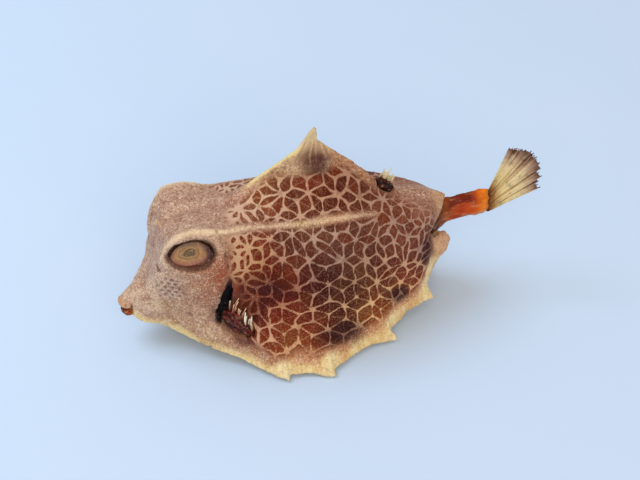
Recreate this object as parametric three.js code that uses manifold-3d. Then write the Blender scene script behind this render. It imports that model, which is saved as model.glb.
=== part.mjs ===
// A dried humpback turretfish, which is a boxfish: a rigid bony carapace that stands on its flat belly,
// with the soft parts that grow out of it - lips, eyes, fins and tail stalk - as pieces of their own.
// Millimetres, +Z up. The head points to -X, the tail to +X, and the fish's left flank faces -Y.
import * as THREE from "three";
import Module from "manifold-3d";
import { mergeVertices } from "three/addons/utils/BufferGeometryUtils.js";

const wasm = await Module();
wasm.setup();

// ---- driving dimensions ----
const carapaceLength = 94; // mouth to the rear edge over the tail
const carapaceHeight = 62.6; // belly to the tip of the dorsal spine
const carapaceBreadth = 62; // across the widest ventral spines
const clearance = 0.3; // between any two pieces that meet

const dorsalSpineHeight = 3.4;
const eyeLength = 12;
const eyeHeight = 8.2;
const eyeThickness = 1.7;
const lipLength = 7; // across the snout
const lipThickness = 2.9;
const rimWall = 0.9; // shell thickness round the tail opening
const tailOpeningDepth = 8;
const stalkHeight = 9.2;
const stalkWidth = 4.6;
const stalkLength = 12.6; // from the carapace to the tail fin
const stalkRise = 2.9; // how far the stalk's end stands above the opening's middle
const stalkRootFlare = 1.3; // the root inside the opening, against the stalk outside it
const caudalRayCount = 10;
const caudalRayLength = 15.2;
const caudalFanLow = 20; // degrees above level, of the lowest and the highest ray
const caudalFanHigh = 66;
const pectoralLobeLength = 9.6;
const pectoralLobeWidth = 4.4;
const pectoralLobeThickness = 2.6;
const pectoralSlant = 42; // degrees, rear end down
const pectoralRayCount = 7;
const pectoralRayLength = 3.4;
const gillLength = 12.5;
const gillWidth = 1.9;
const gillSlant = 16; // degrees, top end back
const medianFinLength = 5.4; // the dorsal and the anal fin's fleshy base
const medianFinWidth = 2.8;
const medianFinHeight = 2.4;
const medianRayCount = 6;
const medianRayLength = 2.6;
const stubThickness = 0.5; // a broken fin ray

// ---- outlines of the carapace ----
// Each line runs from mouth to tail. Numbers are percent of the carapace's length (x), half breadth (y) and height (z).
const dorsalLine = [
  [3.8, 25.6], [6.4, 28.4], [9, 34], [10.9, 42.3], [11.9, 49.5], [13.8, 58.8], [16.5, 63.3], [21.3, 65.2],
  [29.8, 66.3], [33, 68], [36.2, 71.2], [40.9, 76.4], [45.2, 80.2], [51.1, 85.1], [54.6, 89.5], [57.2, 93.6], [59.5, 94.6],
  [62.4, 89.6], [66.3, 83.9], [70.1, 79.1], [73.5, 73.5], [76.1, 69], [79.8, 63.3], [83.2, 59.7], [87.7, 57.3],
  [91.5, 56.2],
];
const dorsolateralLine = [
  [3.8, 8.4, 24.6], [5.3, 12.9, 27.5], [7.4, 16.5, 31], [9.6, 19.7, 36.4], [11.1, 25.2, 43.9], [12, 29, 51.8],
  [14.4, 32.3, 61.7], [16.9, 34.2, 66.2], [20.6, 34.5, 68.2], [25.5, 33.9, 66.9], [31, 33.9, 65.3],
  [40.4, 33.8, 64.7], [51.8, 37.7, 63.7], [61.9, 38, 63.4], [69, 35.2, 61.9], [78.2, 30.6, 59.4], [85.1, 26.5, 56.2],
  [91.5, 22.6, 52.7],
];
const ventrolateralLine = [
  [3.8, 11.6, 16.6], [6.4, 16.8, 14.1], [11.2, 20.6, 12.8], [16, 30, 10.2], [23.8, 49.7, 7.2], [30.6, 62.9, 5.1],
  [35.6, 76.1, 3.5], [39.7, 87.1, 2.4], [42.9, 91.6, 2.1], [47.3, 91, 1.9], [51.4, 94.2, 1.9], [56.4, 93.5, 1.9],
  [60.2, 88.4, 1.9], [66.9, 76.8, 1.9], [73.5, 68.4, 2.2], [78.7, 57.4, 3.2], [83.9, 46.1, 5.1],
  [87.7, 38.7, 7.3], [91, 30.3, 11.2], [93.6, 23.2, 19.2],
];
const ventralLine = [
  [3.8, 15.7], [6.4, 12.9], [11.2, 11.2], [16, 8.3], [23.8, 4.6], [30.6, 2.1], [36.2, 0.5], [40.4, 0],
  [76.6, 0], [81.9, 1.4], [86.2, 3.4], [89.9, 6.4], [93.6, 11],
];
const firstSection = 3.8; // percent of the length, behind the lips
const lastSection = 96.3; // percent of the length, at the tail opening
const flareStart = 83; // where the rear edge starts to run out over the tail and to notch at the sides

// Thorns of the ventrolateral ridge: place along it, then how far the tip goes out, back and down.
const ventralSpines = [
  { at: 42.9, out: 1.7, back: 0.5, drop: 0.5 },
  { at: 56.4, out: 2, back: 0.6, drop: 0.5 },
  { at: 76.4, out: 2.6, back: 2.4, drop: 0.5 },
  { at: 90.4, out: 1.6, back: 3.1, drop: 1.6 },
];
const spineLead = 4.6; // how long a ventral thorn takes to rise
const spineTail = 1.3; // and to fall away behind its tip
const spineBase = 0.2; // share of the flank and of the belly that a thorn takes with it
const dorsalSpineAt = 59.5;
const dorsalSpineLead = 4.2;
const dorsalSpineTail = 1.2;
const browSpineAt = 16.9;
const browSpineHeight = 0.5;
const browSpineReach = 1.9;

// A smooth curve through [x, value] points that never swings past them.
function smoothCurve(points) {
  const slope = points.slice(1).map(([x, v], i) => (v - points[i][1]) / (x - points[i][0]));
  const tangent = points.map((_, i) => {
    const [before, after] = [slope[i - 1] ?? slope[i], slope[i] ?? slope[i - 1]];
    return before * after <= 0 ? 0 : (2 * before * after) / (before + after);
  });
  return (x) => {
    let i = points.findIndex(([next]) => next > x) - 1;
    if (i === -2) i = points.length - 2;
    i = Math.max(0, i);
    const width = points[i + 1][0] - points[i][0];
    const t = Math.min(1, Math.max(0, (x - points[i][0]) / width));
    const rise = points[i + 1][1] - points[i][1];
    return (
      points[i][1] +
      rise * t * t * (3 - 2 * t) +
      width * t * (1 - t) * (tangent[i] * (1 - t) - tangent[i + 1] * t)
    );
  };
}

// The tail opening is as large as the stalk's root needs.
const rootHeight = stalkHeight * stalkRootFlare;
const rootWidth = stalkWidth * stalkRootFlare * 1.35;
const openingHeight = rootHeight + 2 * clearance + 1.4;
const openingWidth = rootWidth + 2 * clearance + 1.4;
const openingZ = 0.388 * carapaceHeight;
const rimTop = openingZ + openingHeight / 2 + rimWall;
const rimBottom = openingZ - openingHeight / 2 - rimWall;
const rimHalfWidth = openingWidth / 2 + rimWall;
const rimCorner = 0.78; // how square the rim's corners are

const length = (percent) => (percent * carapaceLength) / 100;
const halfBreadth = (percent) => (percent * carapaceBreadth) / 200;
const height = (percent) => (percent * carapaceHeight) / 100;
const lineOf = (points, column, toSize, atRim) =>
  smoothCurve([...points.map((p) => [length(p[0]), toSize(p[column])]), [length(lastSection), atRim]]);

const dorsalZ = lineOf(dorsalLine, 1, height, rimTop);
const dorsolateralY = lineOf(dorsolateralLine, 1, halfBreadth, rimHalfWidth * rimCorner);
const dorsolateralZ = lineOf(dorsolateralLine, 2, height, rimTop - (1 - rimCorner) * openingHeight * 0.5);
const ventrolateralY = lineOf(ventrolateralLine, 1, halfBreadth, rimHalfWidth * rimCorner);
const ventrolateralZ = lineOf(ventrolateralLine, 2, height, rimBottom + (1 - rimCorner) * openingHeight * 0.5);
const ventralZ = lineOf(ventralLine, 1, height, rimBottom);

// How far each panel of the section bows out from the straight line between its ridges, along the body.
const backHollow = smoothCurve([[0, 0], [20, -0.6], [38, 0.4], [48, 2], [60, 3], [74, 1.6], [88, 0], [100, 0]]);
const flankBulge = smoothCurve([[0, 0.2], [12, 0.6], [25, 1.2], [55, 0.9], [80, 1], [96, 1.4]]);
const flankFlare = smoothCurve([[0, 0], [14, 0.3], [28, 1.1], [50, 2.2], [70, 1.9], [86, 0.6], [96, 0]]);

const along = (x, at, lead, tail) => {
  const t = x < at ? 1 - (at - x) / lead : 1 - (x - at) / tail;
  return Math.max(0, t);
};
const near = (distance, reach) => Math.max(0, 1 - distance / reach) ** 1.6;

// A point of the carapace's skin on the fish's right side (+Y). s runs round the section:
// 0 to 1 from the dorsal line to the dorsolateral ridge, 1 to 2 down the flank, 2 to 3 in to the belly's middle.
function skin(x, s) {
  const percent = (x / carapaceLength) * 100;
  const ridges = [
    [0, dorsalZ(x)],
    [dorsolateralY(x), dorsolateralZ(x)],
    [ventrolateralY(x), ventrolateralZ(x)],
    [0, ventralZ(x)],
  ];
  const panel = Math.min(2, Math.floor(s));
  const t = s - panel;
  const [from, to] = [ridges[panel], ridges[panel + 1]];
  const chord = Math.hypot(to[0] - from[0], to[1] - from[1]);
  const out = [(from[1] - to[1]) / chord, (to[0] - from[0]) / chord];
  let y = from[0] + (to[0] - from[0]) * t;
  let z = from[1] + (to[1] - from[1]) * t;
  if (panel === 0) {
    const bow = -backHollow(percent) * Math.sin(Math.PI * Math.sqrt(t));
    y += bow * out[0];
    z += bow * out[1];
  } else if (panel === 1) {
    const bow = flankBulge(percent) * Math.sin(Math.PI * t) + flankFlare(percent) * Math.sin(2 * Math.PI * t);
    y += bow * out[0];
    z += bow * out[1];
  } else {
    // the belly turns in from the ridge and is flat over its inner half
    z = to[1] + (from[1] - to[1]) * Math.max(0, 1 - 2 * t) ** 1.5;
  }
  let forward = 0;
  if (percent > flareStart) {
    const flare = ((percent - flareStart) / (lastSection - flareStart)) ** 2;
    const reach = [3.2, 0.5, -3.4, 0.4, 5.2];
    const place = panel === 0 ? t : panel === 1 ? 1 + 2 * t : 3 + t;
    const i = Math.min(3, Math.floor(place));
    forward += flare * (reach[i] + (reach[i + 1] - reach[i]) * (place - i));
  }
  for (const spine of ventralSpines) {
    const share = along(x, length(spine.at), spineLead, spineTail) * near(Math.abs(s - 2), spineBase);
    y += spine.out * share;
    z -= spine.drop * share;
    forward += spine.back * share;
  }
  z += dorsalSpineHeight * along(x, length(dorsalSpineAt), dorsalSpineLead, dorsalSpineTail) * near(s, 0.3);
  z += browSpineHeight * along(x, length(browSpineAt), browSpineReach, browSpineReach) * near(Math.abs(s - 1), 0.25);
  return new THREE.Vector3(x + forward, y, Math.max(0, z));
}

// The skin's outward direction at (x, s).
function skinNormal(x, s) {
  const step = 0.4;
  const lengthwise = skin(x + step, s).sub(skin(x - step, s));
  const roundwise = skin(x, s + 0.02).sub(skin(x, s - 0.02));
  return lengthwise.cross(roundwise).normalize();
}

// ---- building blocks ----

// A closed mesh through rings of equally many points, each end closed on its own middle point.
// The rings' points run anticlockwise seen from the last ring looking back to the first.
function loft(rings) {
  const sides = rings[0].length;
  const points = rings.flat();
  const middle = (ring) => ring.reduce((sum, p) => sum.add(p), new THREE.Vector3()).divideScalar(sides);
  const [firstMiddle, lastMiddle] = [points.length, points.length + 1];
  points.push(middle(rings[0]), middle(rings.at(-1)));
  const index = [];
  for (let j = 0; j < sides; j++) {
    const next = (j + 1) % sides;
    for (let i = 0; i < rings.length - 1; i++) {
      const [a, b] = [i * sides + j, i * sides + next];
      index.push(a, b, b + sides, a, b + sides, a + sides);
    }
    const last = (rings.length - 1) * sides;
    index.push(firstMiddle, next, j, lastMiddle, last + j, last + next);
  }
  const geometry = new THREE.BufferGeometry().setFromPoints(points);
  geometry.setIndex(index);
  return geometry;
}

// A ring of an ellipse in the plane of two half axes.
function ellipse(centre, halfA, halfB, sides) {
  return Array.from({ length: sides }, (_, j) => {
    const angle = (2 * Math.PI * j) / sides;
    return centre
      .clone()
      .addScaledVector(halfA, Math.cos(angle))
      .addScaledVector(halfB, Math.sin(angle));
  });
}

const vector = (x, y, z) => new THREE.Vector3(x, y, z);

function toSolid(geometry) {
  const bare = geometry.clone().deleteAttribute("normal").deleteAttribute("uv");
  const merged = mergeVertices(bare, 1e-4);
  const vertProperties = new Float32Array(merged.attributes.position.array);
  const triVerts = new Uint32Array(merged.index.array);
  return new wasm.Manifold(new wasm.Mesh({ numProp: 3, vertProperties, triVerts }));
}

function toGeometry(solid) {
  const mesh = solid.getMesh();
  const geometry = new THREE.BufferGeometry();
  geometry.setAttribute("position", new THREE.BufferAttribute(mesh.vertProperties, 3));
  geometry.setIndex(new THREE.BufferAttribute(mesh.triVerts, 1));
  return geometry;
}

const inPlace = (mesh) => {
  mesh.updateMatrixWorld(true);
  return mesh.geometry.clone().applyMatrix4(mesh.matrixWorld);
};

const finish = (color, roughness) => new THREE.MeshStandardMaterial({ color, roughness, metalness: 0 });
const shellFinish = finish(0x8a6248, 0.55);
const eyeFinish = finish(0x9a8462, 0.3);
const lipFinish = finish(0x8c4a2a, 0.45);
const fleshFinish = finish(0x5a1c12, 0.35);
const stalkFinish = finish(0xb8541c, 0.4);
const rayFinish = finish(0xcdbd8c, 0.5);

function piece(name, geometry, material) {
  const mesh = new THREE.Mesh(geometry, material);
  mesh.name = name;
  return mesh;
}

// Sets an object on the skin: its own +Z points out, its own +X to the tail, turned so many degrees downward.
// side is 1 for the fish's right, -1 for its left; own +Y points down on the right and up on the left.
function placeOnSkin(object, place, side, sink = 0, turn = 0) {
  const out = skinNormal(place.x, place.s);
  const tailward = vector(1, 0, 0).addScaledVector(out, -out.x).normalize();
  tailward.applyAxisAngle(out, THREE.MathUtils.degToRad(turn));
  const at = skin(place.x, place.s).addScaledVector(out, -sink);
  for (const v of [out, tailward, at]) v.y *= side;
  const across = out.clone().cross(tailward);
  object.setRotationFromMatrix(new THREE.Matrix4().makeBasis(tailward, across, out));
  object.position.copy(at);
  return object;
}

// ---- carapace ----

const backSteps = 5;
const flankSteps = 14;
const bellySteps = 6;
const coarseStep = 2.6; // between sections
const fineStep = 1.5;
const fineUntil = 36; // percent: the head and the pectoral region take the finer step

function sectionPlaces() {
  const wanted = [
    ...[dorsalSpineAt, browSpineAt, ...ventralSpines.map((spine) => spine.at)].map(length),
    ...ventralSpines.map((spine) => length(spine.at) + spineTail),
    length(dorsalSpineAt) + dorsalSpineTail,
  ];
  const end = length(lastSection);
  for (let x = length(firstSection); x < end; x += x < length(fineUntil) ? fineStep : coarseStep)
    if (wanted.every((w) => Math.abs(w - x) > fineStep / 2)) wanted.push(x);
  if (wanted.every((w) => Math.abs(w - end) > fineStep / 2)) wanted.push(end);
  return wanted.sort((a, b) => a - b);
}

function sectionRing(x) {
  const steps = (panel, count) =>
    Array.from({ length: count }, (_, i) => {
      const t = i / count;
      // points crowd towards the ridges
      return panel + t - (0.3 * Math.sin(2 * Math.PI * t)) / (2 * Math.PI);
    });
  const places = [...steps(0, backSteps), ...steps(1, flankSteps), ...steps(2, bellySteps), 3];
  const right = places.map((s) => skin(x, s));
  right[0].y = 0;
  right.at(-1).y = 0;
  const left = right.slice(1, -1).map((p) => vector(p.x, -p.y, p.z));
  return [...right, ...left.reverse()].reverse();
}

function tailOpening() {
  const start = length(lastSection) - tailOpeningDepth;
  const rings = [0, 1, 2].map((i) => {
    const grow = i === 0 ? 0.85 : 1;
    const x = [start, start + tailOpeningDepth * 0.4, carapaceLength * 1.2][i];
    return superellipse(vector(x, 0, openingZ), (openingWidth / 2) * grow, (openingHeight / 2) * grow, 20);
  });
  return loft(rings);
}

// A ring across the body, between an ellipse and a box.
function superellipse(centre, halfY, halfZ, sides) {
  return Array.from({ length: sides }, (_, j) => {
    const angle = (2 * Math.PI * j) / sides;
    const round = (v) => Math.sign(v) * Math.abs(v) ** 0.75;
    return vector(centre.x, centre.y + halfY * round(Math.cos(angle)), centre.z + halfZ * round(Math.sin(angle)));
  });
}

const eyePlace = { x: length(20.2), s: 1.175 };
const pectoralPlace = { x: length(31.8), s: 1.72 };
const gillPlace = { x: length(28.5), s: 1.53 };
const dorsalFinPlace = { x: length(80.4), s: 0 };
const analFinPlace = { x: length(90.6), s: 3 };
const eyeSink = 0.55;
const pectoralSink = 0.3;

function eyeSocket(side) {
  const depth = eyeThickness + clearance;
  const cutter = new THREE.Mesh(new THREE.CylinderGeometry(1, 1, 2 * depth, 32).rotateX(Math.PI / 2));
  cutter.scale.set(eyeLength / 2 + clearance + 0.05, eyeHeight / 2 + clearance + 0.05, 1);
  return inPlace(placeOnSkin(cutter, eyePlace, side, eyeSink));
}

function pectoralPocket(side) {
  const cutter = new THREE.Mesh(new THREE.SphereGeometry(1, 20, 12));
  const room = clearance + 0.5;
  cutter.scale.set(pectoralLobeLength / 2 + room, pectoralLobeWidth / 2 + room, pectoralLobeThickness / 2 + room);
  return inPlace(placeOnSkin(cutter, pectoralPlace, side, pectoralSink, pectoralSlant));
}

// The gill opening is an upright slit in front of the pectoral fin.
function gillSlit(side) {
  const cutter = new THREE.Mesh(new THREE.SphereGeometry(1, 14, 12));
  cutter.scale.set(gillWidth / 2, gillLength / 2, 1.8);
  return inPlace(placeOnSkin(cutter, gillPlace, side, 0, gillSlant));
}

// Lies along the midline where a median fin grows; side -1 is under the belly.
function medianPlace(object, place, side) {
  const [before, after] = [skin(place.x - 1, place.s), skin(place.x + 1, place.s)];
  const slope = Math.atan2(after.z - before.z, after.x - before.x);
  object.position.copy(skin(place.x, place.s));
  object.position.y = 0;
  object.rotation.set(side > 0 ? 0 : Math.PI, -slope, 0, "YXZ");
  return object;
}

function medianPocket(place, side) {
  const room = clearance + 0.3;
  const ball = new THREE.SphereGeometry(1, 18, 12);
  ball.scale(medianFinLength / 2 + room, medianFinWidth / 2 + room, medianFinHeight / 2 + room);
  const cutter = new THREE.Mesh(ball);
  return inPlace(medianPlace(cutter, place, side));
}

function carapace() {
  let solid = toSolid(loft(sectionPlaces().map(sectionRing)));
  const cutters = [tailOpening(), medianPocket(dorsalFinPlace, 1), medianPocket(analFinPlace, -1)];
  for (const side of [-1, 1]) cutters.push(eyeSocket(side), pectoralPocket(side), gillSlit(side));
  for (const cutter of cutters) solid = solid.subtract(toSolid(cutter));
  return piece("carapace", toGeometry(solid), shellFinish);
}

// ---- eyes ----

// A dried eye: a raised rim, a sunken iris and a small pupil in its middle.
function eye(name, side) {
  const back = -eyeThickness;
  const profile = [[0, back], [0.9, back], [1, back * 0.6], [1, -0.35], [0.94, 0], [0.84, -0.1], [0.7, -0.5], [0.45, -0.62]];
  profile.push([0.24, -0.4], [0.12, -0.5], [0, -0.55]);
  const points = profile.map(([r, z]) => new THREE.Vector2(r, z));
  const geometry = new THREE.LatheGeometry(points, 24).rotateX(Math.PI / 2);
  const mesh = piece(name, geometry, eyeFinish);
  mesh.scale.set(eyeLength / 2, eyeHeight / 2, 1);
  return placeOnSkin(mesh, eyePlace, side, eyeSink);
}

// ---- lips ----

// A lip is a fleshy bar across the snout's end that bends back to its corners.
function lip(name, middle, reach, material) {
  const steps = 10;
  const rings = Array.from({ length: steps + 1 }, (_, i) => {
    const t = (2 * i) / steps - 1;
    const thick = (lipThickness / 2) * Math.sqrt(1.04 - t * t);
    const centre = middle.clone().add(vector(reach * t * t, (lipLength / 2) * t, 0));
    return ellipse(centre, vector(0, 0, thick * 0.9), vector(thick, 0, 0), 12);
  });
  return piece(name, loft(rings), material);
}

function lips() {
  const front = length(firstSection) - clearance;
  const split = (height(dorsalLine[0][1]) + height(ventralLine[0][1])) / 2;
  const half = (lipThickness * 0.9 + clearance) / 2 + 0.1;
  const upper = vector(front - lipThickness / 2 - 0.55, 0, split + half - 0.4);
  const lower = vector(front - lipThickness / 2 - 0.1, 0, split - half - 0.7);
  return [lip("upper_lip", upper, 1.5, lipFinish), lip("lower_lip", lower, 1.2, fleshFinish)];
}

// ---- fins ----

// A tapering stub of a dried ray from one point to another.
function stub(from, to, thickness, sides = 6) {
  const axis = to.clone().sub(from).normalize();
  const a = vector(0, 1, 0).addScaledVector(axis, -axis.y);
  if (a.length() < 0.1) a.set(1, 0, 0).addScaledVector(axis, -axis.x);
  a.normalize();
  const b = axis.clone().cross(a);
  const rings = [[0, 1], [0.55, 0.9], [1, 0.4]].map(([t, share]) => {
    const r = (thickness / 2) * share;
    return ellipse(from.clone().lerp(to, t), a.clone().multiplyScalar(r), b.clone().multiplyScalar(r), sides);
  });
  return loft(rings);
}

// The fleshy base of a fin, with a blunt end and a pinched one, lying along its own X.
function lobe(lobeLength, lobeWidth, lobeHeight) {
  const steps = 8;
  const rings = Array.from({ length: steps + 1 }, (_, i) => {
    const t = (2 * i) / steps - 1;
    const girth = Math.sqrt(1.02 - t * t) * (1 - 0.16 * t);
    const halfY = vector(0, (lobeWidth / 2) * girth, 0);
    return ellipse(vector((lobeLength / 2) * t, 0, 0), halfY, vector(0, 0, (lobeHeight / 2) * girth), 12);
  });
  return loft(rings);
}

function pectoralFin(label, side) {
  const fin = new THREE.Group();
  const base = piece(
    "pectoral_lobe_" + label,
    lobe(pectoralLobeLength, pectoralLobeWidth, pectoralLobeThickness),
    fleshFinish,
  );
  fin.add(base);
  // the broken rays stand in a row along the lobe's upper edge and point up
  const slant = THREE.MathUtils.degToRad(pectoralSlant);
  const up = vector(-Math.sin(slant), -side * Math.cos(slant), 0.4).normalize();
  for (let i = 0; i < pectoralRayCount; i++) {
    const t = (2 * i) / (pectoralRayCount - 1) - 1;
    const girth = Math.sqrt(1 - 0.7 * t * t);
    const from = vector(
      0.4 * pectoralLobeLength * t,
      -side * 0.26 * pectoralLobeWidth * girth,
      (pectoralLobeThickness / 2) * girth * 0.92 + stubThickness / 2 + clearance,
    );
    const to = from.clone().addScaledVector(up, pectoralRayLength * (1 - 0.12 * (i % 3)));
    fin.add(piece(`pectoral_ray_${label}_${i + 1}`, stub(from, to, stubThickness), rayFinish));
  }
  return placeOnSkin(fin, pectoralPlace, side, pectoralSink, pectoralSlant);
}

function medianFin(label, place, side) {
  const fin = new THREE.Group();
  const base = piece(label + "_fin_base", lobe(medianFinLength, medianFinWidth, medianFinHeight), fleshFinish);
  fin.add(base);
  for (let i = 0; i < medianRayCount; i++) {
    const t = (2 * i) / (medianRayCount - 1) - 1;
    const x = (0.36 * t - 0.1) * medianFinLength;
    const top = (medianFinHeight / 2) * (1 - 0.1 * t) + clearance;
    const from = vector(x, 0, top);
    const lean = side > 0 ? -0.25 : 0.9;
    const to = from.clone().add(vector(lean, 0, 1).normalize().multiplyScalar(medianRayLength));
    fin.add(piece(`${label}_ray_${i + 1}`, stub(from, to, stubThickness), rayFinish));
  }
  return medianPlace(fin, place, side);
}

// ---- tail ----

const stalkStart = length(lastSection) - tailOpeningDepth + 2;
const stalkEnd = length(lastSection) + stalkLength + 3.2;
const stalkEndZ = openingZ + stalkRise;

function tailStalk() {
  // place along the stalk, then its height and width against the stalk's, and its rise
  const stations = [
    [0, stalkRootFlare * 0.8, stalkRootFlare, 0],
    [0.1, stalkRootFlare, stalkRootFlare * 1.35, 0],
    [0.22, stalkRootFlare * 0.97, stalkRootFlare * 1.2, 0.04],
    [0.34, 1.16, 1.1, 0.45],
    [0.46, 1.02, 1, 0.72],
    [0.62, 1, 0.96, 0.84],
    [0.8, 0.96, 0.86, 0.92],
    [0.93, 0.93, 0.7, 1],
    [1, 0.86, 0.5, 1],
  ];
  const rings = stations.map(([t, tall, wide, rise]) => {
    const centre = vector(stalkStart + t * (stalkEnd - stalkStart), 0, openingZ + rise * stalkRise);
    return ellipse(centre, vector(0, (stalkWidth / 2) * wide, 0), vector(0, 0, (stalkHeight / 2) * tall), 16);
  });
  return piece("tail_stalk", loft(rings), stalkFinish);
}

// One ray of the tail fin: a flat blade with its own share of the dried membrane, widening to a ragged tip.
function caudalRay(i) {
  const t = i / (caudalRayCount - 1);
  const angleAt = (share) => THREE.MathUtils.degToRad(caudalFanLow + (caudalFanHigh - caudalFanLow) * share);
  const spread = (share) => {
    // where that share of the fan starts on the stalk's end and where it reaches
    const base = vector(stalkEnd + clearance + 0.25, 0, stalkEndZ + (share - 0.5) * stalkHeight * 0.84);
    const reach = caudalRayLength * (1 + 0.1 * Math.sin(Math.PI * share) + 0.04 * Math.cos(5.3 * i));
    const tip = base.clone().add(vector(Math.cos(angleAt(share)), 0, Math.sin(angleAt(share))).multiplyScalar(reach));
    return [base, tip];
  };
  const half = 0.5 / (caudalRayCount - 1);
  const [lowBase, lowTip] = spread(t - half);
  const [highBase, highTip] = spread(t + half);
  const pleat = 0.5 * Math.sin(2.4 * i);
  const rings = [0, 0.25, 0.5, 0.75, 0.92, 1].map((along) => {
    const low = lowBase.clone().lerp(lowTip, along);
    const high = highBase.clone().lerp(highTip, along);
    const across = high.clone().sub(low);
    const width = across.length() - clearance * 1.05;
    across.normalize();
    const centre = low.add(high).multiplyScalar(0.5).add(vector(0, pleat * along, 0));
    const taper = along === 1 ? 0.55 : 1;
    const thick = 0.42 - 0.12 * along;
    return ellipse(centre, across.multiplyScalar((width / 2) * taper), vector(0, -thick * taper, 0), 8);
  });
  return piece(`caudal_ray_${i + 1}`, loft(rings), rayFinish);
}

// ---- the whole fish ----

const fish = new THREE.Group();
fish.add(carapace());
fish.add(eye("eye_left", -1), eye("eye_right", 1));
fish.add(...lips());
fish.add(pectoralFin("left", -1), pectoralFin("right", 1));
fish.add(medianFin("dorsal", dorsalFinPlace, 1), medianFin("anal", analFinPlace, -1));
fish.add(tailStalk());
for (let i = 0; i < caudalRayCount; i++) fish.add(caudalRay(i));

// It stands on its belly with the origin under the middle of its box.
const box = new THREE.Box3().setFromObject(fish, true);
fish.position.set(-(box.min.x + box.max.x) / 2, -(box.min.y + box.max.y) / 2, -box.min.z);
const part = new THREE.Group();
part.add(fish);

export default part;
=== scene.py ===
"""A dried humpback turretfish: a bony shell of plates with its eyes, lips, fins and tail stalk.

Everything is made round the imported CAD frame, in metres. Fish coordinates are millimetres with x from the
mouth, y from the middle plane (left flank negative) and z from the ground.
"""
import math
from types import SimpleNamespace

import bpy
import bmesh
import numpy as np
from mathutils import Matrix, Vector
from mathutils.geometry import delaunay_2d_cdt


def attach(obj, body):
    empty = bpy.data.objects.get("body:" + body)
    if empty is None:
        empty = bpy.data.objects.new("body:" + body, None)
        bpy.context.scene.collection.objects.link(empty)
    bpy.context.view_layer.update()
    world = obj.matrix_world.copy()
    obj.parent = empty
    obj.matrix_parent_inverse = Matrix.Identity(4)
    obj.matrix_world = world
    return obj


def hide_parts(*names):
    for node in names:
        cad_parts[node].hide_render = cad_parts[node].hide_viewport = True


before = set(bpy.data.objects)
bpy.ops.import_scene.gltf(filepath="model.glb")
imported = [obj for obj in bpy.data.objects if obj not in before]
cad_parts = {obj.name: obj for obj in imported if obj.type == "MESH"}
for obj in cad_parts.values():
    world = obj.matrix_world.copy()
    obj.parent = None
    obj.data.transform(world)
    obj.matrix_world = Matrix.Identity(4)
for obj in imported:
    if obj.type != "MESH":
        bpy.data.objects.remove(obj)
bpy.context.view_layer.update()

MM = 0.001
MOUTH_X = -60.96  # the mouth's place in the frame, in millimetres

# ---- the shell's lines, in fish coordinates: x, |y|, z ----
UPPER_RIDGE = np.array([
    (3.6, 2.6, 15.4), (7, 5.1, 19.4), (9, 6.1, 22.8), (10.4, 7.8, 27.5), (11.3, 9, 32.4),
    (13.5, 10, 38.6), (15.9, 10.6, 41.4), (19.4, 10.7, 42.7), (24, 10.5, 41.9), (29, 10.5, 40.9),
    (38, 10.5, 40.5), (48.7, 11.7, 39.9), (58.2, 11.8, 39.7), (64.9, 10.9, 38.7), (73.5, 9.5, 37.2),
    (80, 8.2, 35.2), (90, 6, 32),
])
LOWER_RIDGE = np.array([
    (3.6, 3.6, 10.4), (6, 5.2, 8.8), (10.5, 6.4, 8), (15, 9.3, 6.4), (22.4, 15.4, 4.5), (28.8, 19.5, 3.2),
    (33.5, 23.6, 2.2), (37.3, 27, 1.5), (40.3, 28.4, 1.3), (44.5, 28.2, 1.2), (48.3, 29.2, 1.2),
    (53, 29, 1.2), (56.6, 27.4, 1.2), (62.9, 23.8, 1.2), (69.1, 21.2, 1.4), (74, 17.8, 2),
    (78.9, 14.3, 3.2), (82.4, 12, 4.6), (85.5, 9.4, 7), (88, 7.2, 12),
])
CREST = np.array([  # the keel's edge in the middle plane: x, z
    (3.6, 16), (6, 17.8), (8.5, 21.3), (10.2, 26.5), (11.2, 31), (13, 36.8), (15.5, 39.6), (20, 40.8),
    (28, 41.5), (34, 44.6), (42.5, 50.2), (51.3, 56), (55.9, 60), (58.7, 56.1), (65.9, 49.5),
    (71.5, 43.2), (75, 39.6), (82.4, 35.9), (90, 34.5),
])

# ---- what stands out from the shell: a path and its radii ----
THORNS = [  # the spines of the lower ridge: hooks that point back
    ([(66, 20.6, 1.9), (69.2, 20.4, 1.8), (71.8, 20.8, 1.6), (73.5, 21.5, 1.3), (74.7, 22.1, 1.1)],
     (0.5, 1.4, 1.15, 0.6, 0.14)),
    ([(80.4, 12, 5.4), (83.2, 11.2, 5.4), (85.6, 11, 5.1), (87.4, 11.4, 4.8), (88.6, 11.8, 4.6)],
     (0.5, 1.4, 1.05, 0.55, 0.14)),
    ([(48.4, 28.4, 1.6), (51, 29.1, 1.3), (53, 30.2, 1), (54.1, 30.9, 0.8)], (0.6, 1.3, 0.9, 0.16)),
]
REAR_FLANGE = (  # the rounded edge beside and below the tail opening
    [(88.6, 5.4, 14.5), (90.8, 5.2, 17.8), (92, 4.8, 20.4), (91.7, 4.6, 22.6)], (2.2, 2.8, 2.4, 1.1),
)
DORSAL_SPINE = [  # the front and the rear edge of the spine on the keel
    ([(53, 0, 56.6), (54.3, 0, 58.9), (55.4, 0, 60.9), (56.2, 0, 62.3)], (0.55, 0.6, 0.5, 0.2)),
    ([(56.2, 0, 62.3), (56.4, 0, 60.2), (57.2, 0, 57.8), (58.6, 0, 55.6)], (0.2, 0.5, 0.6, 0.55)),
]
HORN = ([(13.6, 0, 37.6), (12.6, 0, 38.9), (12.1, 0, 40.2)], (1.1, 0.75, 0.25))
SNOUT = (
    [(9, 0, 17.4), (6, 0, 16.2), (3.8, 0, 15), (2.0, 0, 14.2), (1.2, 0, 13.9)], (2.8, 2.6, 1.9, 1.4, 0.6),
)
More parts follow.
